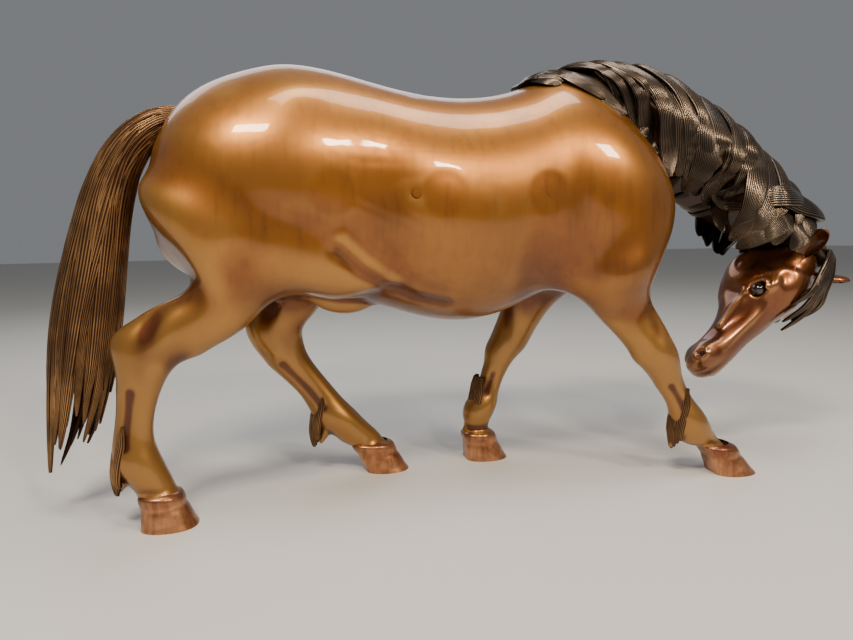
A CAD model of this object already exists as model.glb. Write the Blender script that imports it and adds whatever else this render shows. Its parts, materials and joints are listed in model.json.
import json
import math
import bpy
import numpy as np
import openvdb as vdb
from mathutils import Matrix, Vector
from mathutils.bvhtree import BVHTree

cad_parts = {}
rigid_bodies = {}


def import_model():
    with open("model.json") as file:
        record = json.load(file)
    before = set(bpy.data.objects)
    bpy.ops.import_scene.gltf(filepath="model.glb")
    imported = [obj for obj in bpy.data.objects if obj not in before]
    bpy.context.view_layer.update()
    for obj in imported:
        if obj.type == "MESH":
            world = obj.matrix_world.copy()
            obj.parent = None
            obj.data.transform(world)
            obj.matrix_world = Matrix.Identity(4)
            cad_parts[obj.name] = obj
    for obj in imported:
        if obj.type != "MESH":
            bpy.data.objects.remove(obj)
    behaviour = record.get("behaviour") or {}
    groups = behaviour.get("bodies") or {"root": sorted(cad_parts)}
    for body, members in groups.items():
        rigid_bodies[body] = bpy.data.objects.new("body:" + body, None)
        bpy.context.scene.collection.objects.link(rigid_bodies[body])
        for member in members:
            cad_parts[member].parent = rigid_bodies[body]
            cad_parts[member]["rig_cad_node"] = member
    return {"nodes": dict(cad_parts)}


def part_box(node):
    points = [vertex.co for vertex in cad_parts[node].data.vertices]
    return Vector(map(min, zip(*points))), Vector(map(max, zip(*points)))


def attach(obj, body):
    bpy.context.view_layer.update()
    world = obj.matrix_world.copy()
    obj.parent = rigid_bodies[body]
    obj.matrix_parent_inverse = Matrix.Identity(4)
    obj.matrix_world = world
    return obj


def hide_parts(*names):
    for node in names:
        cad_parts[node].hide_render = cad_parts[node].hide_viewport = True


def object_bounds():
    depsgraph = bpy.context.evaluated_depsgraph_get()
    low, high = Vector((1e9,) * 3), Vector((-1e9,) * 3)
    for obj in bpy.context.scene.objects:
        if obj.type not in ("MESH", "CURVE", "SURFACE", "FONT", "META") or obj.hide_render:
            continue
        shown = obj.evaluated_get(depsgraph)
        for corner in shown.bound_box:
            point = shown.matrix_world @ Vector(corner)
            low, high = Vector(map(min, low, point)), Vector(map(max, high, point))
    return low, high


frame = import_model()
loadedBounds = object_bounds()
nodes = frame["nodes"]
randomness = np.random.default_rng(11)

# Everything below is worked in millimetres and turned into metres when a mesh is made.


def corner(node, which):
    return np.array(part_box(node)[which]) * 1000


rear = corner("body_casting", 0)[0]
breast = corner("body_casting", 1)[0]
bodyLength = 331
unit = (breast - rear) / bodyLength  # one millimetre of the horse as designed
rightSide, leftSide = sides = -1, 1
frameLow, frameHigh = np.array(loadedBounds[0]) * 1000, np.array(loadedBounds[1]) * 1000


# A point from the buttocks, the centre plane and the floor
def spot(x, y, z):
    return np.array([rear + x * unit, y * unit, z * unit])


def nodeMesh(node):
    mesh = nodes[node].data
    mesh.calc_loop_triangles()
    points = np.zeros(len(mesh.vertices) * 3, np.float32)
    mesh.vertices.foreach_get("co", points)
    triangles = np.zeros(len(mesh.loop_triangles) * 3, np.int32)
    mesh.loop_triangles.foreach_get("vertices", triangles)
    keys = np.round(points.reshape(-1, 3) * 1000, 3)
    welded, order = np.unique(keys, axis=0, return_inverse=True)
    return welded.astype(float), order.reshape(-1)[triangles].reshape(-1, 3)


# A block of distances in millimetres, negative inside, that shapes are added to
class Clay:
    def __init__(self, low, high, step):
        self.low = np.array(low, float)
        self.step = step
        self.count = tuple(int(math.ceil((b - a) / step)) + 1 for a, b in zip(low, high))
        self.band = 20.0 * step
        self.field = np.full(self.count, self.band, np.float32)

    def window(self, centre, reach):
        a = np.floor((np.array(centre) - reach - self.low) / self.step).astype(int)
        b = np.ceil((np.array(centre) + reach - self.low) / self.step).astype(int) + 1
        a = np.clip(a, 0, np.array(self.count) - 1)
        b = np.clip(b, 1, self.count)
        b = np.maximum(b, a + 1)
        cut = tuple(slice(i, j) for i, j in zip(a, b))
        axes = [self.low[k] + self.step * np.arange(a[k], b[k], dtype=np.float32) for k in range(3)]
        return cut, np.meshgrid(*axes, indexing="ij", sparse=True)

    # The distances to a closed mesh, with its hollows filled unless told not to
    def solid(self, points, triangles, fill=True):
        grid = vdb.FloatGrid.createLevelSetFromPolygons(
            ((points - self.low) / self.step).astype(np.float32),
            triangles=triangles.astype(np.uint32), halfWidth=20)
        block = np.zeros(self.count, np.float32)
        grid.copyToArray(block)
        block *= self.step
        if not fill:
            return block
        inside = block < 0
        within = np.ones(self.count, bool)
        total = np.zeros(self.count, np.float32)
        for axis in range(3):
            length = self.count[axis]
            anyInside = inside.any(axis=axis)
            first = np.where(anyInside, inside.argmax(axis=axis), length)
            last = length - 1 - np.flip(inside, axis).argmax(axis=axis)
            shape = [1, 1, 1]
            shape[axis] = length
            index = np.arange(length, dtype=np.float32).reshape(shape)
            first, last = np.expand_dims(first, axis), np.expand_dims(last, axis)
            depth = np.minimum(index - first, last - index) * self.step
            within &= depth > 0
            total += 1 / np.maximum(depth, 0.1) ** 2
        # for a flat wall the true depth follows from its depths along the three axes
        depth = 1 / np.sqrt(total)
        deep = within & (depth > 1.6)
        block[deep] = -np.minimum(depth[deep], self.band)
        return block

    # The squared distance from a centre in units of the radii; tilt turns them about Y, in degrees
    def measure(self, axes, centre, radii, tilt):
        c, s = math.cos(math.radians(tilt)), math.sin(math.radians(tilt))
        dx, dy, dz = (axis - middle for axis, middle in zip(axes, centre))
        u, w = dx * c - dz * s, dx * s + dz * c
        return (u / radii[0]) ** 2 + (dy / radii[1]) ** 2 + (w / radii[2]) ** 2

    # Adds an ellipsoid with a rounded junction
    def lump(self, centre, radii, blend, tilt=0.0):
        radii = np.array(radii, float)
        cut, axes = self.window(centre, radii.max() * 1.5 + blend)
        q = np.sqrt(self.measure(axes, centre, radii, tilt))
        near = (q - 1) * radii.min()
        a = self.field[cut]
        h = np.maximum(blend - np.abs(a - near), 0) / blend
        self.field[cut] = (np.minimum(a, near) - h * h * blend / 4).astype(np.float32)

    # Adds a shape with a rounded junction of that width
    def join(self, block, blend):
        a, b = self.field, block
        h = np.maximum(blend - np.abs(a - b), 0) / blend
        h[np.minimum(a, b) > self.band * 0.8] = 0
        self.field = np.minimum(a, b) - h * h * blend / 4

    # Raises (or sinks, below zero) the surface round a point
    def swell(self, centre, radii, amount, tilt=0.0):
        radii = np.array(radii, float)
        cut, axes = self.window(centre, radii.max() * 2.4)
        q = self.measure(axes, centre, radii, tilt)
        self.field[cut] -= (amount * np.exp(-q)).astype(np.float32)

    # A ridge (or a groove, below zero) along a line of points
    def crease(self, points, width, amount):
        points = [np.array(p, float) for p in points]
        middle = sum(points) / len(points)
        reach = max(np.abs(p - middle).max() for p in points) + width * 3
        cut, (x, y, z) = self.window(middle, reach)
        nearest = None
        for a, b in zip(points[:-1], points[1:]):
            d = b - a
            t = ((x - a[0]) * d[0] + (y - a[1]) * d[1] + (z - a[2]) * d[2]) / (d @ d)
            t = np.clip(t, 0, 1)
            far = sum((axis - a[k] - t * d[k]) ** 2 for k, axis in enumerate((x, y, z)))
            nearest = far if nearest is None else np.minimum(nearest, far)
        fade = amount * np.exp(-nearest / width ** 2)
        self.field[cut] -= fade.astype(np.float32)

    # Takes an ellipsoid away
    def carve(self, centre, radii, blend, tilt=0.0):
        radii = np.array(radii, float)
        cut, axes = self.window(centre, radii.max() * 2 + blend)
        q = np.sqrt(self.measure(axes, centre, radii, tilt))
        away = (1 - q) * radii.min()
        a = self.field[cut]
        h = np.maximum(blend - np.abs(a - away), 0) / blend
        self.field[cut] = (np.maximum(a, away) + h * h * blend / 4).astype(np.float32)

    # Melts the surface round a point
    def soften(self, centre, radii, rounds):
        cut, axes = self.window(centre, max(radii) * 1.8)
        block = self.field[cut]
        melted = block
        for turn in range(rounds):
            for axis in range(3):
                ends = np.moveaxis(melted, axis, 0)
                ends = np.concatenate([ends[:1], ends, ends[-1:]])
                melted = np.moveaxis((ends[:-2] + ends[2:] + 2 * ends[1:-1]) / 4, 0, axis)
        q = sum(((axis - c) / r) ** 2 for axis, c, r in zip(axes, centre, radii))
        weight = np.clip(1.4 - q, 0, 1)
        self.field[cut] = (block + (melted - block) * weight * weight * (3 - 2 * weight)).astype(np.float32)

    # The same point moved out to the surface on one side
    def flank(self, point, side):
        i, k = (int(round((point[n] - self.low[n]) / self.step)) for n in (0, 2))
        filled = np.nonzero(self.field[i, :, k] < 0)[0]
        if len(filled) == 0:
            return point
        return np.array([point[0], self.low[1] + self.step * filled[-1 if side > 0 else 0], point[2]])

    def blurred(self, rounds):
        block = self.field
        for turn in range(rounds):
            for axis in range(3):
                block = (np.roll(block, 1, axis) + np.roll(block, -1, axis) + 2 * block) / 4
        return block

    def sample(self, block, points):
        at = np.clip((points - self.low) / self.step, 0, np.array(self.count) - 1.001)
        base = at.astype(int)
        part = at - base
        total = 0
        for dx in (0, 1):
            for dy in (0, 1):
                for dz in (0, 1):
                    weight = (np.abs(1 - dx - part[:, 0]) * np.abs(1 - dy - part[:, 1])
                              * np.abs(1 - dz - part[:, 2]))
                    total = total + weight * block[base[:, 0] + dx, base[:, 1] + dy, base[:, 2] + dz]
        return total

    def surface(self):
        grid = vdb.FloatGrid(3.0)
        grid.copyFromArray(np.clip(self.field / self.step, -3, 3).astype(np.float32), tolerance=0)
        grid.gridClass = vdb.GridClass.LEVEL_SET
        points, quads = grid.convertToQuads(isovalue=0.0)
        return self.low + points.astype(float) * self.step, quads[:, ::-1]


# A smooth mesh in the scene; values are numbers kept at its points under a name
def addMesh(name, points, faces, values=None, material=None):
    points = np.clip(points, frameLow, frameHigh)  # a chased surface never outgrows its casting
    mesh = bpy.data.meshes.new(name)
    faces = np.asarray(faces, np.int32)
    size = faces.shape[1]
    mesh.vertices.add(len(points))
    mesh.vertices.foreach_set("co", (points / 1000).astype(np.float32).ravel())
    mesh.loops.add(faces.size)
    mesh.loops.foreach_set("vertex_index", faces.ravel())
    mesh.polygons.add(len(faces))
    mesh.polygons.foreach_set("loop_start", np.arange(0, faces.size, size, dtype=np.int32))
    mesh.update(calc_edges=True)
    mesh.validate()
    mesh.polygons.foreach_set("use_smooth", np.ones(len(mesh.polygons), bool))
    for key, numbers in (values or {}).items():
        layer = mesh.attributes.new(key, "FLOAT", "POINT")
        layer.data.foreach_set("value", np.asarray(numbers, np.float32))
    piece = bpy.data.objects.new(name, mesh)
    bpy.context.scene.collection.objects.link(piece)
    if material:
        mesh.materials.append(material)
    return piece


# Materials

# A colour from its sRGB hex code
def linear(code):
    parts = [int(code[i:i + 2], 16) / 255 for i in (0, 2, 4)]
    return [p / 12.92 if p <= 0.04045 else ((p + 0.055) / 1.055) ** 2.4 for p in parts] + [1.0]


# Adds a shader node. A setting is a property, a socket's value, or the output that feeds the socket.
def addNode(tree, kind, settings, output=0):
    node = tree.nodes.new("ShaderNode" + kind)
    for key, value in settings.items():
        if isinstance(value, bpy.types.NodeSocket):
            tree.links.new(value, node.inputs[key])
        elif isinstance(key, int) or key in node.inputs:
            node.inputs[key].default_value = value
        else:
            setattr(node, key, value)
    return node.outputs[output]


# Settings for a smooth step of a value, and for a mix of two colours
def eased(source, fromLow, fromHigh, toLow, toHigh):
    return {"interpolation_type": "SMOOTHSTEP", 0: source, 1: fromLow, 2: fromHigh, 3: toLow, 4: toHigh}


def blend(factor, first, second):
    return {"data_type": "RGBA", 0: factor, 6: first, 7: second}


mixedColour = 2  # the output of a mix node that carries a colour


# Lays colours over a base one after another; each layer says where it lies and its colour's code
def layered(tree, colour, layers):
    for where, code in layers:
        amount = addNode(tree, "MapRange", where)
        colour = addNode(tree, "Mix", blend(amount, colour, linear(code)), mixedColour)
    return colour


def feed(tree, shader, colour, rough, normal):
    for key, source in (("Base Color", colour), ("Roughness", rough), ("Normal", normal)):
        tree.links.new(source, shader.inputs[key])


def newMaterial(name, sockets):
    made = bpy.data.materials.new(name)
    made.use_nodes = True
    tree = made.node_tree
    shader = tree.nodes["Principled BSDF"]
    for key, value in sockets.items():
        shader.inputs[key].default_value = value
    return made, tree, shader


# Polished cast bronze under a tinted, lacquered patina: warm where rubbed, darker where the tint pools
def patina(name, look):
    made, tree, shader = newMaterial(name, {"Metallic": look["metallic"], "Coat Weight": look["coat"],
                                            "Coat Roughness": look["coatRoughness"]})
    place = addNode(tree, "TexCoord", {}, "Object")
    height = addNode(tree, "SeparateXYZ", {0: place}, 2)
    # clouds of tint about 45 mm across, and brushed-on streaks of about 4 mm that run down the casting
    clouds = addNode(tree, "TexNoise", {"Vector": place, "Scale": 22.0, "Detail": 5.0,
                                        "Roughness": 0.55}, "Fac")
    stretched = addNode(tree, "Mapping", {"Vector": place, "Scale": (1.0, 1.0, 0.12)})
    streaks = addNode(tree, "TexNoise", {"Vector": stretched, "Scale": 240.0, "Detail": 3.0}, "Fac")
    grain = addNode(tree, "TexNoise", {"Vector": place, "Scale": 900.0, "Detail": 2.0}, "Fac")
    lower = addNode(tree, "MapRange", eased(height, look["lowAt"], look["highAt"], 1.0, 0.0))
    cloudy = addNode(tree, "MapRange", eased(clouds, 0.36, 0.66, 0.0, 1.0))
    tint = addNode(tree, "Math", {"operation": "MULTIPLY_ADD", "use_clamp": True,
                                  0: cloudy, 1: 0.30, 2: lower})
    bright, brown = linear(look["bright"]), linear(look["brown"])
    colour = addNode(tree, "Mix", blend(tint, bright, brown), mixedColour)
    fold = addNode(tree, "Attribute", {"attribute_name": "fold"}, "Fac")
    neck = addNode(tree, "Attribute", {"attribute_name": "underMane"}, "Fac")
    layers = [(eased(streaks, 0.45, 0.75, 0.0, look["streaks"]), look["deep"]),
              (eased(fold, 0.04, 0.9, 0.0, 0.7), look["deep"]),
              (eased(fold, -0.04, -0.5, 0.0, 0.45), look["rubbed"]),
              (eased(neck, 0.0, 1.0, 0.0, 0.92), look["underMane"])]
    colour = layered(tree, colour, layers)
    rough = addNode(tree, "Math", {"operation": "MULTIPLY_ADD", 0: clouds, 1: 0.16,
                                   2: look["roughness"] - 0.08})
    # hand-chasing leaves a wave about 17 mm long, and the polish a fine grain
    wave = addNode(tree, "TexNoise", {"Vector": place, "Scale": 60.0, "Detail": 2.0}, "Fac")
    bump = addNode(tree, "Bump", {"Strength": 0.12, "Distance": 0.0006, "Height": wave})
    fine = addNode(tree, "Bump", {"Strength": 0.10, "Distance": 0.00006, "Height": grain,
                                  "Normal": bump})
    feed(tree, shader, colour, rough, fine)
    return made


# Dark oxidised bronze hair: near-black in the engraved lines, rubbed back to metal on the strands
def hairPatina(name, look):
    made, tree, shader = newMaterial(name, {"Metallic": look["metallic"], "Coat Weight": 0.15,
                                            "Coat Roughness": 0.2})
    place = addNode(tree, "TexCoord", {}, "Object")
    ridge = addNode(tree, "Attribute", {"attribute_name": "ridge"}, "Fac")
    crown = addNode(tree, "Attribute", {"attribute_name": "crown"}, "Fac")
    wear = addNode(tree, "TexNoise", {"Vector": place, "Scale": 45.0, "Detail": 4.0}, "Fac")
    grain = addNode(tree, "TexNoise", {"Vector": place, "Scale": 700.0, "Detail": 2.0}, "Fac")
    raised = addNode(tree, "MapRange", eased(ridge, 0.35, 0.95, 0.0, 1.0))
    worn = addNode(tree, "MapRange", eased(wear, 0.35, 0.65, 0.35, 1.0))
    rubbed = addNode(tree, "Math", {"operation": "MULTIPLY", 0: raised, 1: worn})
    valley, strand = linear(look["valley"]), linear(look["strand"])
    colour = addNode(tree, "Mix", blend(rubbed, valley, strand), mixedColour)
    edge = addNode(tree, "MapRange", eased(crown, 0.0, 0.55, 0.75, 0.0))
    colour = addNode(tree, "Mix", blend(edge, colour, valley), mixedColour)
    rough = addNode(tree, "Math", {"operation": "MULTIPLY_ADD", 0: rubbed, 1: -0.14,
                                   2: look["roughness"] + 0.1})
    bump = addNode(tree, "Bump", {"Strength": 0.25, "Distance": 0.0001, "Height": grain})
    feed(tree, shader, colour, rough, bump)
    return made


# Copper-toned patina with the faint growth rings and down-strokes of a chased hoof
def hoofCopper(name, look):
    made, tree, shader = newMaterial(name, {"Metallic": 0.8, "Coat Weight": 0.45, "Coat Roughness": 0.12})
    place = addNode(tree, "TexCoord", {}, "Object")
    down = addNode(tree, "Mapping", {"Vector": place, "Scale": (1.0, 1.0, 0.06)})
    strokes = addNode(tree, "TexNoise", {"Vector": down, "Scale": 420.0, "Detail": 3.0}, "Fac")
    rings = addNode(tree, "Mapping", {"Vector": place, "Scale": (0.15, 0.15, 1.0)})
    growth = addNode(tree, "TexNoise", {"Vector": rings, "Scale": 300.0, "Detail": 2.0}, "Fac")
    blotch = addNode(tree, "TexNoise", {"Vector": place, "Scale": 70.0, "Detail": 4.0}, "Fac")
    height = addNode(tree, "SeparateXYZ", {0: place}, 2)
    colour = linear(look["bright"])
    layers = [(eased(blotch, 0.35, 0.68, 0.0, 1.0), look["brown"]),
              (eased(strokes, 0.45, 0.72, 0.0, 0.4), look["deep"]),
              (eased(height, 0.012, 0.021, 0.0, 0.35), look["deep"])]  # metres: darker up at the coronet
    colour = layered(tree, colour, layers)
    rough = addNode(tree, "Math", {"operation": "MULTIPLY_ADD", 0: blotch, 1: 0.2,
                                   2: look["roughness"] - 0.1})
    lines = addNode(tree, "Bump", {"Strength": 0.3, "Distance": 0.0003, "Height": growth})
    feed(tree, shader, colour, rough, lines)
    return made


# Black glazed eye: almost no colour of its own, so all it gives the eye is a sharp glint
def enamel(name):
    made, tree, shader = newMaterial(name, {"Roughness": 0.06, "Coat Weight": 1.0, "Coat Roughness": 0.03})
    place = addNode(tree, "TexCoord", {}, "Object")
    depth = addNode(tree, "TexNoise", {"Vector": place, "Scale": 260.0, "Detail": 2.0}, "Fac")
    colour = addNode(tree, "Mix", blend(depth, linear("0a0705"), linear("2a1a10")), mixedColour)
    tree.links.new(colour, shader.inputs["Base Color"])
    return made


# Sawn and turned bronze that was never coloured: fine tool lines and a yellow cast
def bareBronze(name):
    made, tree, shader = newMaterial(name, {"Metallic": 1.0})
    place = addNode(tree, "TexCoord", {}, "Object")
    flat = addNode(tree, "Mapping", {"Vector": place, "Scale": (0.08, 1.0, 1.0)})
    lines = addNode(tree, "TexNoise", {"Vector": flat, "Scale": 1400.0, "Detail": 2.0}, "Fac")
    stain = addNode(tree, "TexNoise", {"Vector": place, "Scale": 120.0, "Detail": 4.0}, "Fac")
    colour = addNode(tree, "Mix", blend(stain, linear("c99a56"), linear("8d6130")), mixedColour)
    rough = addNode(tree, "MapRange", eased(lines, 0.3, 0.7, 0.28, 0.5))
    bump = addNode(tree, "Bump", {"Strength": 0.2, "Distance": 0.00005, "Height": lines})
    feed(tree, shader, colour, rough, bump)
    return made


# Colours as sRGB codes; lowAt and highAt are the heights in metres between which the gold comes in
goldLook = {"bright": "a96823", "brown": "58290d", "deep": "2a1208", "rubbed": "d09a48", "metallic": 0.76,
            "roughness": 0.35, "coat": 0.6, "coatRoughness": 0.05, "streaks": 0.20,
            "lowAt": 0.03, "highAt": 0.25, "underMane": "33231a"}
headLook = {"bright": "8a5128", "brown": "5e2f16", "deep": "1e0e07", "rubbed": "c08a58", "metallic": 0.80,
            "roughness": 0.28, "coat": 0.6, "coatRoughness": 0.06, "streaks": 0.18,
            "lowAt": 0.06, "highAt": 0.16, "underMane": "33231a"}
hairLook = {"valley": "140d09", "strand": "87735f", "metallic": 0.88, "roughness": 0.30}
tailLook = {"valley": "3a2312", "strand": "b98a58", "metallic": 0.85, "roughness": 0.36}
hoofLook = {"bright": "c58a5c", "brown": "8c4f2c", "deep": "3c1d10", "roughness": 0.34}
goldenPatina = patina("BronzeGoldenPatina", goldLook)
brownPatina = patina("BronzeBrownPatina", headLook)
darkHair = hairPatina("BronzeDarkHairPatina", hairLook)
tailHair = hairPatina("BronzeTailHairPatina", tailLook)
copperPatina = hoofCopper("BronzeCopperHoofPatina", hoofLook)
blackEnamel = enamel("EnamelBlackGlazed")
plainBronze = bareBronze("BronzeBareTurned")
print("materials made")

# Head, in its own frame: along from poll to muzzle, left, and up out of the forehead
rightEye = (corner("right_eye", 0) + corner("right_eye", 1)) / 2
leftEye = (corner("left_eye", 0) + corner("left_eye", 1)) / 2
headPoints, headFaces = nodeMesh("head_casting")
betweenEyes = (rightEye + leftEye) / 2
left = (leftEye - rightEye) / np.linalg.norm(leftEye - rightEye)
away = np.linalg.norm(headPoints - (corner("head_spigot", 0) + corner("head_spigot", 1)) / 2, axis=1)
toMuzzle = headPoints[away.argmax()] - betweenEyes
toMuzzle -= (toMuzzle @ left) * left
toMuzzle /= np.linalg.norm(toMuzzle)
drop = math.radians(7.9)  # the muzzle's end lies this far below the line square to the forehead
squareUp = np.cross(toMuzzle, left)
along = toMuzzle * math.cos(drop) + squareUp * math.sin(drop)
up = np.cross(along, left)
eyeSpot = np.array([41.0, 0.0, 5.0])
headTurn = np.array([along, left, up])


def headWorld(points):
    return betweenEyes + (np.atleast_2d(points) - eyeSpot) @ headTurn


def headLocal(points):
    return (points - betweenEyes) @ headTurn.T + eyeSpot


# Body, neck and legs: one skin, as the chased and coloured casting shows no seams
skin = {"step": 1.2, "legBlend": 15.0, "neckBlend": 17.0, "sheathBlend": 5.0, "plugBlend": 0.5,
        "neckEnd": -3.0, "margin": 6, "halfSpan": 68, "grow": 0.25, "topOfHoof": 19.0, "smoothing": 2,
        "poll": (0.87, 0.49)}
rearNodes = ("body_casting", "right_hind_leg", "left_hind_leg")
foreNodes = ("body_casting", "right_fore_leg", "neck_casting")
low = [min(corner(n, 0)[k] for n in rearNodes) - skin["margin"] for k in range(3)]
high = [max(corner(n, 1)[k] for n in foreNodes) + skin["margin"] for k in range(3)]
low[1], high[1], low[2] = -skin["halfSpan"], skin["halfSpan"], -4
clay = Clay(low, high, skin["step"])
clay.field = clay.solid(*nodeMesh("body_casting"))
legNames = ("right_hind_leg", "left_hind_leg", "right_fore_leg", "left_fore_leg")
legFields = {}
for node in legNames:
    legFields[node] = clay.solid(*nodeMesh(node))
    clay.join(legFields[node], skin["legBlend"])
neckField = clay.solid(*nodeMesh("neck_casting"))
# the neck stops at a plane from throat to poll, where the head takes over
cut, (x, y, z) = clay.window((0, 0, 0), 2000)
ahead, above = skin["poll"]
pollWay = ahead * along + above * up
beyond = sum((axis - betweenEyes[k]) * pollWay[k] for k, axis in enumerate((x, y, z)))
beyond = beyond + ahead * eyeSpot[0] + above * eyeSpot[2] - skin["neckEnd"]
neckField = np.maximum(neckField, beyond).astype(np.float32)
bodyField = clay.field
clay.join(neckField, skin["neckBlend"])
clay.join(clay.solid(*nodeMesh("sheath_casting")), skin["sheathBlend"])
for node in ("core_pin_plugs", "belly_plug"):
    clay.join(clay.solid(*nodeMesh(node), fill=False), skin["plugBlend"])
clay.field = clay.blurred(skin["smoothing"])
print("castings joined", clay.count)

# Muscles of the trunk: x from the buttocks, height, three radii, rise, turn in degrees
trunk = {"fold": ((104, 158), (118, 146), (134, 137), (152, 130), (170, 126)), "plugReach": (13, 12, 13),
         "plugEdge": 4, "plugRounds": 40}
plugLow, plugHigh = corner("core_pin_plugs", 0), corner("core_pin_plugs", 1)
for x in (plugLow[0] + trunk["plugEdge"], (plugLow[0] + plugHigh[0]) / 2, plugHigh[0] - trunk["plugEdge"]):
    for side in sides:
        clay.soften(clay.flank(np.array([x, 0, (plugLow[2] + plugHigh[2]) / 2]), side),
                    trunk["plugReach"], trunk["plugRounds"])
muscles = [
    (62, 205, 40, 20, 46, 2.6, 0), (97, 152, 26, 16, 26, 2.8, 0), (128, 192, 20, 14, 30, -2.2, 10),
    (84, 246, 15, 12, 12, 1.4, 0), (290, 195, 24, 14, 46, 2.6, -15), (256, 172, 8, 12, 34, -1.5, -12),
    (52, 150, 12, 14, 26, -1.5, 25), (318, 172, 16, 14, 22, 1.6, 0)]
for side in sides:
    clay.lump(spot(277, side * 32, 174), (40, 19, 44), 16, -12)  # shoulder down into the forearm
    clay.soften(spot(278, side * 46, 156), (60, 36, 44), 90)
    clay.soften(spot(100, side * 44, 150), (40, 30, 30), 30)  # stifle into the flank
    clay.soften(spot(20, side * 34, 185), (34, 34, 36), 40)
    for x, z, rx, ry, rz, rise, turn in muscles:
        clay.swell(clay.flank(spot(x, 0, z), side), (rx, ry, rz), rise, turn)
clay.swell(spot(70, 0, 268), (50, 4, 8), -1.0)
for side in sides:
    # the fold of skin from the stifle forward along the belly, with its lit edge above
    foldLine = [clay.flank(spot(x, 0, z), side) for x, z in trunk["fold"]]
    clay.crease(foldLine, 5.0, -1.5)
    clay.crease([p + (3, 0, 7) for p in foldLine], 5.5, 1.3)


# The rearmost and foremost X, the middle Y and half width of a leg at a height
def across(field, height):
    level = int(round((height * unit - clay.low[2]) / clay.step))
    filled = field[:, :, level] < 0
    xs = np.nonzero(filled.any(axis=1))[0]
    ys = np.nonzero(filled.any(axis=0))[0]
    back, front = clay.low[0] + clay.step * xs[[0, -1]]
    left, right = clay.low[1] + clay.step * ys[[0, -1]]
    return back, front, (left + right) / 2, (right - left) / 2


def point(x, y, height):
    return np.array([x, y, height * unit])


# heights over the floor, in millimetres of the horse as designed
legShape = {"hock": 101, "knee": 84, "fetlock": 40, "cannon": (62, 50), "coronet": 23}
for node in legNames:
    field = legFields[node]
    hind = "hind" in node
    joint = legShape["hock"] if hind else legShape["knee"]
    back, front, middle, half = across(field, joint)
    if hind:
        clay.swell(point(back + 1, middle, joint + 9), (9, 8, 10), 4.2)  # point of the hock
        clay.swell(point(front, middle, joint - 4), (8, 9, 9), 1.6)
        for side in sides:
            clay.swell(point((back + front) / 2 - 2, middle + side * half, joint + 22), (7, 6, 16), -2.4, 20)
            clay.swell(point((back + front) / 2, middle + side * half, joint - 12), (6, 5, 8), 1.2)
    else:
        clay.swell(point(front - 1, middle, joint), (8, 9, 10), 2.2)  # knee
        clay.swell(point(back, middle, joint - 2), (6, 7, 7), 1.6)
        for side in sides:
            clay.swell(point((back + front) / 2, middle + side * half, joint + 2), (7, 4, 8), 1.0)
            clay.swell(point((back + front) / 2 - 3, middle + side * half, joint + 26), (6, 6, 14), -1.4)
    fetlock = legShape["fetlock"]
    back, front, middle, half = across(field, fetlock)
    clay.swell(point((back + front) / 2, middle, fetlock), (12, 12, 8), 2.2)
    clay.swell(point(back + 1, middle, fetlock - 2), (7, 8, 8), 2.4)
    cannonHeights = (joint - 20,) + legShape["cannon"]
    cannon = [across(field, h) for h in cannonHeights]
    for side in sides:
        line = [point(b + 0.32 * (f - b), m + side * w, h) for (b, f, m, w), h in zip(cannon, cannonHeights)]
        clay.crease(line, 3.0, -1.0)  # between cannon and tendon
    tendon = [point(b + 1.0, m, h) for (b, f, m, w), h in zip(cannon, cannonHeights)]
    clay.crease(tendon, 4.0, 1.4)
    back, front, middle, half = across(field, legShape["coronet"])
    clay.swell(point((back + front) / 2, middle, legShape["coronet"]), (13, 12, 3.5), 1.2)
clay.field -= skin["grow"]
heights = clay.low[2] + clay.step * np.arange(clay.count[2])
clay.field = np.maximum(clay.field, (skin["topOfHoof"] * unit - heights)[None, None, :]).astype(np.float32)
smooth = clay.blurred(1)
wide = clay.blurred(9)
clay.field = smooth
points, faces = clay.surface()
fold = np.clip(-(clay.sample(wide, points) - clay.sample(smooth, points)) * 1.6, -1, 1)
underMane = np.clip((clay.sample(bodyField, points) - clay.sample(neckField, points)) / 10 - 0.2, 0, 1)
skinTree = BVHTree.FromPolygons(points.tolist(), faces.tolist())
horse = addMesh("HorseSkin", points, faces, {"fold": fold, "underMane": underMane}, goldenPatina)
for node in ("body_casting", "neck_casting", "sheath_casting") + legNames:
    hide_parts(node)
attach(horse, "root")
print("skin", len(points))

# Head
face = {"step": 0.6, "smoothing": 9, "eyeRadius": 4.4}
block = Clay((-14, -32, -46), (124, 32, 34), face["step"])
block.field = block.solid(headLocal(headPoints), headFaces)
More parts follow.
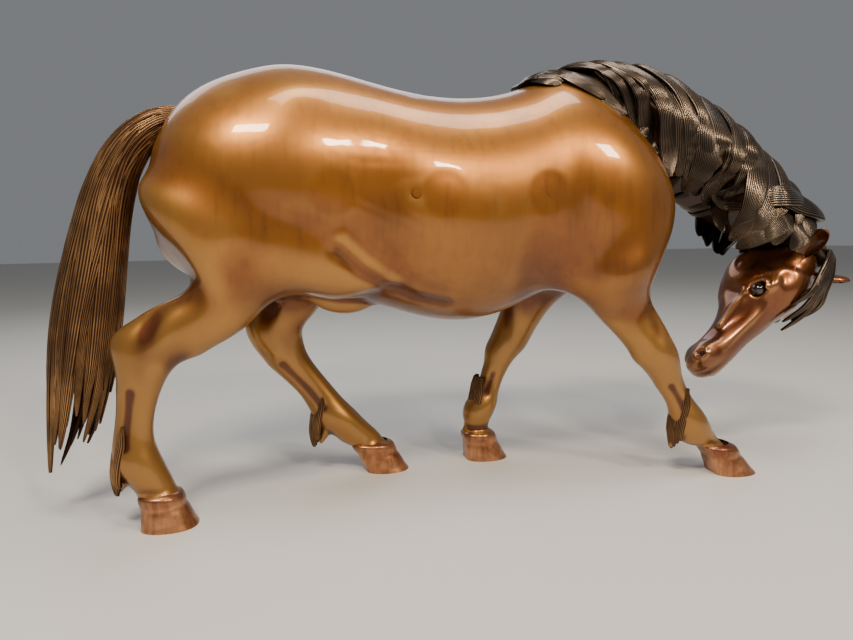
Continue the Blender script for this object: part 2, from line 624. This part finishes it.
# the poll end, which the casting gives up to the neck
block.lump((8, 0, -2), (18, 17, 17), 5.0)
block.lump((27, 0, 0), (19, 20.5, 18), 8.0)
for side in sides:
    block.lump((25, side * 7, -15), (19, 12.5, 18), 8.0)
block.field = block.blurred(face["smoothing"])
for side in sides:
    features = [
        ((35, side * 19.5, 13), (9, 5, 5), 3.4, -10), ((42, side * 21, 5), (8, 4, 6), -2.2, 0),
        ((23, side * 17, 15), (6, 5, 5), -2.0, 0), ((29, side * 17, -19), (17, 6, 16), 3.6, 0),
        ((50, side * 17, -12), (6, 5, 12), -2.4, 0), ((64, side * 14, 5), (13, 5, 4.5), -2.4, 8),
        ((98, side * 10.5, 2), (9, 5, 7), 2.8, 0), ((86, side * 11, -3), (8, 4, 6), -1.4, 0),
        ((108, side * 6, 1), (6, 5, 6), 1.4, 0), ((82, side * 10, -14), (14, 4, 5), -1.0, 0)]
    for centre, radii, rise, turn in features:
        block.swell(centre, radii, rise, turn)
    block.crease([(47, side * 20, -2), (60, side * 17, -3), (76, side * 13.5, -2)], 3.0, 2.2)  # facial crest
    block.crease([(44, side * 13, 17), (62, side * 8.5, 13), (88, side * 6.5, 9.5)], 3.0, 1.1)  # nasal bone
    block.crease([(112, side * 2, -8.5), (108, side * 8, -8.5), (100, side * 12, -8), (90, side * 13, -8.5)],
                 1.5, -2.2)  # mouth
    block.crease([(24, side * 12, -30), (42, side * 9, -31), (62, side * 8, -24)], 3.0, 1.2)  # jaw's edge
    eyeCentre = (41, side * 18.6, 5)
    block.carve(eyeCentre, (6.2, 4.8, 4.4), 1.2, 12)
    turns = [(math.cos(t), math.sin(t)) for t in np.linspace(0, 2 * math.pi, 17)]
    ring = [(41 + 7.2 * c, side * (20.4 - 0.9 * c), 5 + 5.2 * s - 1.4 * c) for c, s in turns]
    block.crease(ring[0:9], 1.5, 2.6)
    block.crease(ring[8:17], 1.3, 1.5)
    upper = [(33.5, side * 20.5, 9), (38, side * 21.5, 13), (44, side * 21, 12.5), (50, side * 19.5, 8)]
    block.crease(upper, 1.2, -1.1)
    block.carve((102, side * 14.5, 3.5), (5.2, 4.2, 2.4), 1.4, 35)  # nostril
    rim = [(97, side * 13, 4), (99, side * 13, 8.4), (104, side * 12, 8), (107, side * 11, 4),
           (105, side * 12, -0.5)]
    block.crease(rim, 1.5, 1.5)
block.swell((102, 0, -15), (8, 7, 5), 4.4)  # chin
block.swell((109, 0, -11), (4, 7, 3), 1.6)  # lower lip
block.swell((70, 0, -21), (22, 5, 7), -3.0)  # between the jaws
block.swell((113, 0, -1), (4, 8, 5), 1.2)
block.swell((102, 0, 9), (12, 3, 5), -1.3)
smooth = block.blurred(1)
wide = block.blurred(10)
block.field = smooth
points, faces = block.surface()
fold = np.clip(-(block.sample(wide, points) - block.sample(smooth, points)) * 1.9, -1, 1)
head = addMesh("Head", headWorld(points), faces, {"fold": fold}, brownPatina)
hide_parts("head_casting")
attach(head, "root")


# The four-sided faces between rings of points
def ringFaces(rings, around, start=0):
    faces = []
    for i in range(rings - 1):
        for j in range(around):
            k = (j + 1) % around
            this, after = start + i * around, start + (i + 1) * around
            faces.append([this + j, this + k, after + k, after + j])
    return faces


# A ball of rings between two poles
def ball(name, centre, radius, material):
    rings, around = 20, 32
    points = [[0, 0, radius], [0, 0, -radius]]
    for i in range(1, rings):
        for j in range(around):
            a, b = math.pi * i / rings, 2 * math.pi * j / around
            points.append([radius * math.sin(a) * math.cos(b), radius * math.sin(a) * math.sin(b),
                           radius * math.cos(a)])
    faces = [face[::-1] for face in ringFaces(rings - 1, around, 2)]
    last = 2 + (rings - 2) * around
    for j in range(around):
        k = (j + 1) % around
        faces.append([0, 2 + j, 2 + k, 2 + k])
        faces.append([1, last + k, last + j, last + j])
    return addMesh(name, np.array(points) + centre, faces, None, material)


for side, node, centre in ((rightSide, "right_eye", rightEye), (leftSide, "left_eye", leftEye)):
    eye = ball(node + "_ball", centre + left * side * 0.2, face["eyeRadius"], blackEnamel)
    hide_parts(node)
    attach(eye, "root")
print("head", len(points))


# Ears: hollow leaf shapes, open to the front and side
# Smooth values between rows at shares of their length
def spline(rows, share):
    rows = np.array(rows, float)
    at = np.asarray(share) * (len(rows) - 1)
    i = np.clip(at.astype(int), 0, len(rows) - 2)
    t = (at - i)[:, None]
    a, b, c, d = rows[np.maximum(i - 1, 0)], rows[i], rows[i + 1], rows[np.minimum(i + 2, len(rows) - 1)]
    bend, twist = 2 * a - 5 * b + 4 * c - d, 3 * b - a - 3 * c + d
    return 0.5 * (2 * b + (c - a) * t + bend * t * t + twist * t ** 3)


# Rings of a shell whose mouth opens outward, closed to a point
def makeEar(name, side, node):
    ear = {"root": (2, 13.0, 6), "tip": (-13.5, 30.0, 22), "width": 6.6, "depth": 0.72, "lip": 0.12,
           "hollow": 1.25, "bow": 1.6, "opens": (0.80, 0.42, 0.30), "rings": 30, "around": 40}
    root = np.array(ear["root"], float)
    tip = np.array(ear["tip"], float)
    axis = (tip - root) / np.linalg.norm(tip - root)
    opening = np.array(ear["opens"])
    opening -= opening @ axis * axis
    opening /= np.linalg.norm(opening)
    sideways = np.cross(axis, opening)
    points, folds = [], []
    for i in range(ear["rings"]):
        t = i / (ear["rings"] - 1)
        width = ear["width"] * (0.62 + 1.15 * t - 0.25 * t * t) * max(1 - t ** 2.6, 0.0) ** 0.62 + 0.25
        middle = root + (tip - root) * t + opening * ear["bow"] * math.sin(math.pi * t)
        for j in range(ear["around"]):
            a = 2 * math.pi * j / ear["around"]
            deep, spread = -math.cos(a) * ear["depth"], math.sin(a)
            if deep > ear["lip"]:
                # the front folds in to make the hollow
                hollow = ear["hollow"] * math.sin(math.pi * min(t * 1.05, 1)) ** 0.5
                deep = ear["lip"] - (deep - ear["lip"]) * hollow
            points.append(middle + opening * deep * width + sideways * spread * width)
            folds.append(0.7 if deep < 0.1 and math.cos(a) < -0.25 else -0.1)
    faces = ringFaces(ear["rings"], ear["around"])
    points = np.array(points) * (1, side, 1)
    if side < 0:
        faces = [f[::-1] for f in faces]
    made = addMesh(name, headWorld(points), faces, {"fold": folds}, brownPatina)
    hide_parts(node)
    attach(made, "root")


makeEar("EarRight", rightSide, "right_ear")
makeEar("EarLeft", leftSide, "left_ear")

# Hooves: a bulging coronet over a flared wall, flat below
hoof = {"around": 72, "rings": 22, "bulge": 0.8, "height": 21.5, "casting": 19, "notch": 0.10,
        "squareAlong": 0.9, "squareAcross": 0.85}
for node in legNames:
    field = legFields[node]
    lowBack, lowFront, lowMiddle, lowHalf = across(field, 1.5)
    topBack, topFront, topMiddle, topHalf = across(field, hoof["casting"])
    points = []
    for i in range(hoof["rings"]):
        t = i / (hoof["rings"] - 1)
        z = hoof["height"] * unit * t
        lean = min(t * hoof["height"] / hoof["casting"], 1.1)
        back = lowBack + (topBack - lowBack) * lean
        front = lowFront + (topFront - lowFront) * lean
        halfWide = lowHalf + (topHalf - lowHalf) * lean
        # a bulge at the coronet with a groove under it, a lip at the ground and a turn-in at the top
        swellOut = hoof["bulge"] * math.exp(-((t - 0.82) / 0.15) ** 2)
        swellOut -= 0.5 * math.exp(-((t - 0.60) / 0.10) ** 2)
        swellOut += 0.5 * math.exp(-(t / 0.10) ** 2) - (3.0 * max(t - 0.93, 0) / 0.07)
        for j in range(hoof["around"]):
            a = 2 * math.pi * j / hoof["around"]
            c, s = math.cos(a), math.sin(a)
            reach = (front - back) / 2 + swellOut
            heel = 1 - hoof["notch"] * math.exp(-((abs(a - math.pi)) / 0.35) ** 2) * (1 - t * 0.4)
            x = (front + back) / 2 + reach * math.copysign(abs(c) ** hoof["squareAlong"], c) * heel
            y = lowMiddle + (topMiddle - lowMiddle) * lean
            y += (halfWide + swellOut) * math.copysign(abs(s) ** hoof["squareAcross"], s)
            points.append([x, y, z])
    faces = ringFaces(hoof["rings"], hoof["around"])
    for j in range(hoof["around"]):
        faces.append([len(points), (j + 1) % hoof["around"], j, j])
    points.append([(lowFront + lowBack) / 2, lowMiddle, 0.0])
    made = addMesh("Hoof_" + node, points, faces, None, copperPatina)
    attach(made, "root")
print("hooves and ears made")


# Hair: ribbons with an arched, grooved top, laid along paths on the casting
hairShape = {"pointsPerStrand": 5, "step": 1.6, "groove": 0.42}


# The points, faces and shading numbers of one lock, from its root to its pointed tip
def makeLock(path, normals, width, thick, pitch, seed, root=0.55, tipPower=0.75, wave=0.0):
    length = np.linalg.norm(np.diff(path, axis=0), axis=1).sum()
    steps = max(14, int(length / hairShape["step"]))
    t = np.linspace(0, 1, steps)
    centre = spline(path, t)
    normal = spline(normals, t)
    normal /= np.linalg.norm(normal, axis=1)[:, None]
    tangent = np.gradient(centre, axis=0)
    tangent /= np.linalg.norm(tangent, axis=1)[:, None]
    side = np.cross(tangent, normal)
    side /= np.linalg.norm(side, axis=1)[:, None]
    normal = np.cross(side, tangent)
    strands = max(3, int(round(2 * width / pitch)))
    v = np.linspace(-1, 1, strands * hairShape["pointsPerStrand"] + 1)
    grow = np.clip(t / 0.3, 0, 1)
    profile = root + (1 - root) * grow * grow * (3 - 2 * grow)
    profile = profile * np.clip(1 - t ** 2.4, 0, 1) ** tipPower + 0.03
    halfWidth = width * profile
    sway = wave * np.sin(2 * math.pi * (t * 1.4 + seed)) * (1 - 0.4 * t)
    arch = np.sqrt(np.clip(1 - (v * 0.985) ** 2, 0, 1))
    drift = 0.35 * np.sin(5.1 * t + seed * 7)[:, None]
    phase = (v[None, :] * strands / 2 + drift * (1 - v[None, :] ** 2)) * 2 * math.pi
    ridge = 0.5 + 0.5 * np.cos(phase)
    rise = thick * arch[None, :] * np.clip(profile * 1.5, 0, 1)[:, None]
    rise = rise + hairShape["groove"] * (ridge - 0.5) * np.clip(profile * 2, 0, 1)[:, None]
    middle, sideways, outward = centre[:, None, :], side[:, None, :], normal[:, None, :]
    reach, sway = halfWidth[:, None, None], sway[:, None, None]
    foot = np.array([0.7, 0, -0.7])  # the underside is narrower than the top
    top = middle + sideways * (v[None, :, None] * reach + sway) + outward * rise[:, :, None]
    under = middle + sideways * (foot[None, :, None] * reach + sway) - outward * (thick * 0.7)
    ring = np.concatenate([top, under], axis=1)
    size = ring.shape[1]
    index = np.arange(steps * size).reshape(steps, size)
    after = np.roll(index, -1, axis=1)
    faces = np.stack([index[:-1], after[:-1], after[1:], index[1:]], -1).reshape(-1, 4)
    ridges = np.concatenate([ridge, np.zeros((steps, 3))], axis=1).ravel()
    crowns = np.concatenate([np.repeat(arch[None, :], steps, 0), np.zeros((steps, 3))], axis=1).ravel()
    return ring.reshape(-1, 3), faces, ridges, crowns


class Hair:
    def __init__(self):
        self.parts = []

    def lock(self, path, normals, width, thick, pitch=1.9, **shape):
        self.parts.append(makeLock(np.array(path, float), np.array(normals, float), width, thick, pitch,
                                   randomness.random(), **shape))

    def build(self, name, material, node):
        points, faces, ridges, crowns, total = [], [], [], [], 0
        for p, f, r, c in self.parts:
            points.append(p)
            faces.append(f + total)
            ridges.append(r)
            crowns.append(c)
            total += len(p)
        made = addMesh(name, np.concatenate(points), np.concatenate(faces),
                       {"ridge": np.concatenate(ridges), "crown": np.concatenate(crowns)}, material)
        if node:
            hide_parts(node)
        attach(made, "root")
        print(name, total)
        return made


# Mane: the paths follow the skin, found by rays from the neck's middle line
neckLow, neckHigh = corner("neck_casting", 0), corner("neck_casting", 1)
neckMiddle = [neckLow + (neckHigh - neckLow) * np.array(share) for share in (
    (-0.07, 0.50, 0.63), (0.07, 0.50, 0.66), (0.24, 0.50, 0.65), (0.42, 0.50, 0.57), (0.60, 0.46, 0.415),
    (0.74, 0.40, 0.26), (0.86, 0.33, 0.08))]


# A point of a line and the way it runs there
def follow(line, share, step):
    middle, before, after = spline(line, np.array([share, max(share - step, 0), min(share + step, 1)]))
    return middle, (after - before) / np.linalg.norm(after - before)


# A point on the neck's surface: share from withers to poll, degrees down from the crest, right above 0
def maneSpot(share, angle, lift):
    middle, run = follow(neckMiddle, min(max(share, 0.0), 1.0), 0.02)
    side = np.array([0, -1.0, 0])
    crest = np.cross(side, run)
    crest /= np.linalg.norm(crest)
    side = np.cross(run, crest)
    a = math.radians(angle)
    ray = crest * math.cos(a) + side * math.sin(a)
    hit = skinTree.ray_cast(Vector(middle + ray * 90), Vector(-ray), 90)
    reach = np.linalg.norm(np.array(hit[0]) - middle) if hit[0] else 30
    return middle + ray * (min(reach, 60 - 20 * abs(math.sin(a))) + lift), ray


def maneLock(shares, angles, width, thick, lifts, **shape):
    found = [maneSpot(s, a, l) for s, a, l in zip(shares, angles, lifts)]
    mane.lock([f[0] for f in found], [f[1] for f in found], width, thick, **shape)


mane = Hair()
maneShape = {"last": 0.90, "fall": 0.17, "poll": 0.76,
             # each layer: locks a side, width, thickness, height over the neck, share of the full length
             "layers": ((16, 12.5, 2.2, 0.4, 1.0), (13, 10.5, 2.4, 1.4, 0.88), (9, 8.0, 2.6, 2.3, 0.66))}
for count, width, thick, lift, short in maneShape["layers"]:
    for side in (1, -1):
        for row in range(count):
            s = (row + 0.45 * randomness.random()) / count * maneShape["last"]
            fall = maneShape["fall"] * max(1 - s, 0.0) * (0.85 + 0.3 * randomness.random())
            fall *= min(0.4 + 2.5 * s, 1)
            bottom = min(32 + 270 * s, 148) * short * (0.9 + 0.18 * randomness.random())
            if s > maneShape["poll"]:
                bottom *= 1 - 3.4 * (s - maneShape["poll"])
            bend = 0.03 * (randomness.random() - 0.3)
            shares = [s - 0.015, s - 0.01, s + fall * 0.3 + bend, s + fall * 0.75 + bend, s + fall]
            angles = [-10, 8, bottom * 0.42, bottom * 0.76, bottom]
            maneLock(shares, [side * a for a in angles], width * (0.8 + 0.35 * s), thick,
                     [lift + more for more in (-0.8, 0.6, 1.0, 0.6, -0.2)], wave=1.6, root=0.8, pitch=1.6)
# one heavy lock is thrown forward over the others, and two more lift off the crest
maneLock([0.90, 0.88, 0.82, 0.74, 0.67], [-4, 22, 48, 64, 72], 11.5, 4.2, [2.5, 4.5, 6.4, 6.0, 4.6],
         wave=0, pitch=1.6, root=0.7)
maneLock([0.84, 0.82, 0.75, 0.68, 0.62], [2, 34, 66, 88, 100], 9.0, 3.4, [2, 4, 5, 4.6, 3.0],
         wave=0, pitch=1.6)
maneLock([0.30, 0.36, 0.42, 0.47, 0.52], [8, 2, 0, 0, 2], 6.0, 2.6, [1.0, 2.2, 3.0, 3.2, 2.2],
         wave=0, pitch=1.6)
mane.build("Mane", darkHair, "mane_casting")

# Tail: a grooved core with locks laid round it, longest at the back
tailPoints, tailFaces = nodeMesh("tail_casting")
tailTree = BVHTree.FromPolygons([Vector(p) for p in tailPoints], tailFaces.tolist())
tailShape = {
    "line": ((31, 236.5), (12, 236), (-6, 227), (-19, 208), (-28, 183), (-35, 154), (-43, 112), (-49, 73),
             (-57, 43), (-66, 22)),
    # each layer: locks round the tail, width, thickness, height over the core, where they begin
    "layers": ((12, 7.5, 1.6, -0.9, 0.0), (12, 6.0, 1.7, -0.3, 0.12), (10, 4.6, 1.7, 0.2, 0.30)),
    "uneven": 0.16, "frontShort": 0.10, "swing": 26}
tailLine = np.array([spot(x, 0, z) for x, z in tailShape["line"]])


# A point on the tail: share from root to tip, degrees round it from the back, right above 0
def tailSpot(share, angle, lift):
    middle, run = follow(tailLine, share, 0.03)
    side = np.array([0, -1.0, 0])
    rearward = np.cross(run, side)
    rearward /= np.linalg.norm(rearward)
    if rearward[0] > 0:
        rearward = -rearward
    a = math.radians(angle)
    ray = rearward * math.cos(a) + side * math.sin(a)
    hit = tailTree.ray_cast(Vector(middle + ray * 40), Vector(-ray), 40)
    surface = np.array(hit[0]) if hit[0] else middle + ray * 3
    return surface + ray * lift, ray


tail = Hair()
for layer, (count, width, thick, lift, first) in enumerate(tailShape["layers"]):
    for row in range(count):
        angle = 360 * (row + 0.5 * (layer % 2)) / count + 8 * randomness.random()
        begin = first * (0.6 + 0.8 * randomness.random())
        inFront = math.cos(math.radians(angle)) < 0
        end = 1.0 - tailShape["uneven"] * randomness.random() - (tailShape["frontShort"] if inFront else 0.0)
        swing = tailShape["swing"] * (randomness.random() - 0.5)
        shares = np.linspace(begin, end, 8)
        turns = [angle + swing * math.sin(2.6 * math.pi * (s - begin)) for s in shares]
        found = [tailSpot(s, a, lift) for s, a in zip(shares, turns)]
        tail.lock([f[0] for f in found], [f[1] for f in found], width, thick, root=0.5, wave=0.8)
tail.build("Tail", tailHair, "tail_casting")

# Forelock: from the poll down over the forehead
forelock = Hair()
# each lock: how far left it starts, how far down the face it reaches, how far it swings left
forelockShape = {"locks": ((-2, 34, 2), (3, 46, 4), (7, 40, 6), (0, 26, -1), (10, 32, 9), (5, 50, 8)),
                 "width": 4.2, "thick": 1.8}
for out, reach, swing in forelockShape["locks"]:
    rows = [(-14, out * 0.6, 14), (-4, out, 19.5), (8, out + swing * 0.4, 23),
            (reach * 0.6, out + swing * 0.8, 25.5), (reach, out + swing, 23 - reach * 0.05)]
    path = headWorld(np.array(rows, float))
    ups = np.repeat(up[None, :], len(rows), 0) + 0.12 * out / 5 * left
    forelock.lock(path, ups, forelockShape["width"], forelockShape["thick"], pitch=1.6, root=0.7)
forelock.build("Forelock", darkHair, "forelock_casting")

# Feathers: short tufts behind each fetlock
feather = Hair()
# offsets sideways, then heights and how far each point stands out behind the leg
featherShape = {"offsets": (-7, -4.5, -2, 0.5, 3, 5.5, 8), "at": 44, "tip": 19, "width": 3.6, "thick": 2.2,
                "fall": ((62, -3.0), (52, -1.5), (42, 0.6), (32, 1.8))}
for node in legNames:
    behind, before, middle, half = across(legFields[node], featherShape["at"])
    for offset in featherShape["offsets"]:
        rows, ways = [], []
        for height, out in featherShape["fall"] + ((featherShape["tip"] + abs(offset), 1.2),):
            rows.append([behind - out + abs(offset) * 0.5, middle + offset * 0.9, height * unit])
            ways.append([-1, offset * 0.14, 0.1])
        feather.lock(rows, ways, featherShape["width"], featherShape["thick"], pitch=1.3, root=0.3,
                     tipPower=0.55)
feather.build("Feathers", tailHair, None)

print("feathers and forelock made")

# The pieces carried over from the CAD as they are: inner rods and liners bare, plugs coloured like the skin
for node in nodes.values():
    if node.get("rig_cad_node") and not node.data.materials:
        node.data.materials.append(plainBronze)
    elif node.data.materials:
        node.data.materials[0] = plainBronze
for node in ("belly_plug", "core_pin_plugs"):
    nodes[node].data.materials[0] = goldenPatina

# Floor, lights and camera, in metres and watts
studio = {"floorHalf": 6, "floor": "c9c6c0", "world": "b9bcc0", "worldStrength": 0.40,
          "aim": (0.0, 0.0, 0.15),
          # name, place, width and height, power, colour
          "lights": (("KeyLight", (-0.45, -0.70, 1.05), (0.34, 0.14), 13, "fff2de"),
                     ("SpotLeft", (0.25, -0.95, 0.85), (0.10, 0.10), 4.5, "fff0dc"),
                     ("SpotRight", (0.60, -0.80, 0.75), (0.12, 0.16), 5, "fff0dc"),
                     ("BackLight", (-0.2, 0.9, 0.9), (1.2, 0.5), 4, "eef3ff"),
                     ("TopLight", (0.1, -0.15, 1.3), (1.0, 0.35), 9, "ffffff")),
          "lens": 28.7, "stand": (67, -439.7, 165)}
floorMesh = bpy.data.meshes.new("Floor")
half = studio["floorHalf"]
floorCorners = [(-half, -half, 0), (half, -half, 0), (half, half, 0), (-half, half, 0)]
floorMesh.from_pydata(floorCorners, [], [(0, 1, 2, 3)])
floor = bpy.data.objects.new("Floor", floorMesh)
bpy.context.scene.collection.objects.link(floor)
# matt painted board: gives soft shadows and no mirror image
board = newMaterial("StudioFloor", {"Roughness": 0.6, "Base Color": linear(studio["floor"])})[0]
floorMesh.materials.append(board)

world = bpy.data.worlds.new("Studio")
bpy.context.scene.world = world
world.use_nodes = True
world.node_tree.nodes["Background"].inputs["Color"].default_value = linear(studio["world"])
world.node_tree.nodes["Background"].inputs["Strength"].default_value = studio["worldStrength"]

for name, place, (wide, tall), power, code in studio["lights"]:
    lamp = bpy.data.lights.new(name, "AREA")
    lamp.shape = "RECTANGLE"
    lamp.size, lamp.size_y = wide, tall
    lamp.energy = power
    lamp.color = linear(code)[:3]
    light = bpy.data.objects.new(name, lamp)
    light.location = place
    light.rotation_euler = (Vector(studio["aim"]) - Vector(place)).to_track_quat("-Z", "Y").to_euler()
    bpy.context.scene.collection.objects.link(light)

camera = bpy.data.objects.new("Camera", bpy.data.cameras.new("Camera"))
camera.data.lens = studio["lens"]
camera.data.sensor_width = 36
camera.data.clip_start = 0.01
stand = Vector(spot(*studio["stand"]) / 1000)
forward = Vector((0.21926, 0.96819, -0.12055))
rightWay = Vector((0.97472, -0.22280, -0.01658))
turned = Matrix((rightWay, rightWay.cross(forward), -forward)).transposed().to_4x4()
camera.matrix_world = Matrix.Translation(stand) @ turned
bpy.context.scene.collection.objects.link(camera)
bpy.context.scene.camera = camera
print("studio made")
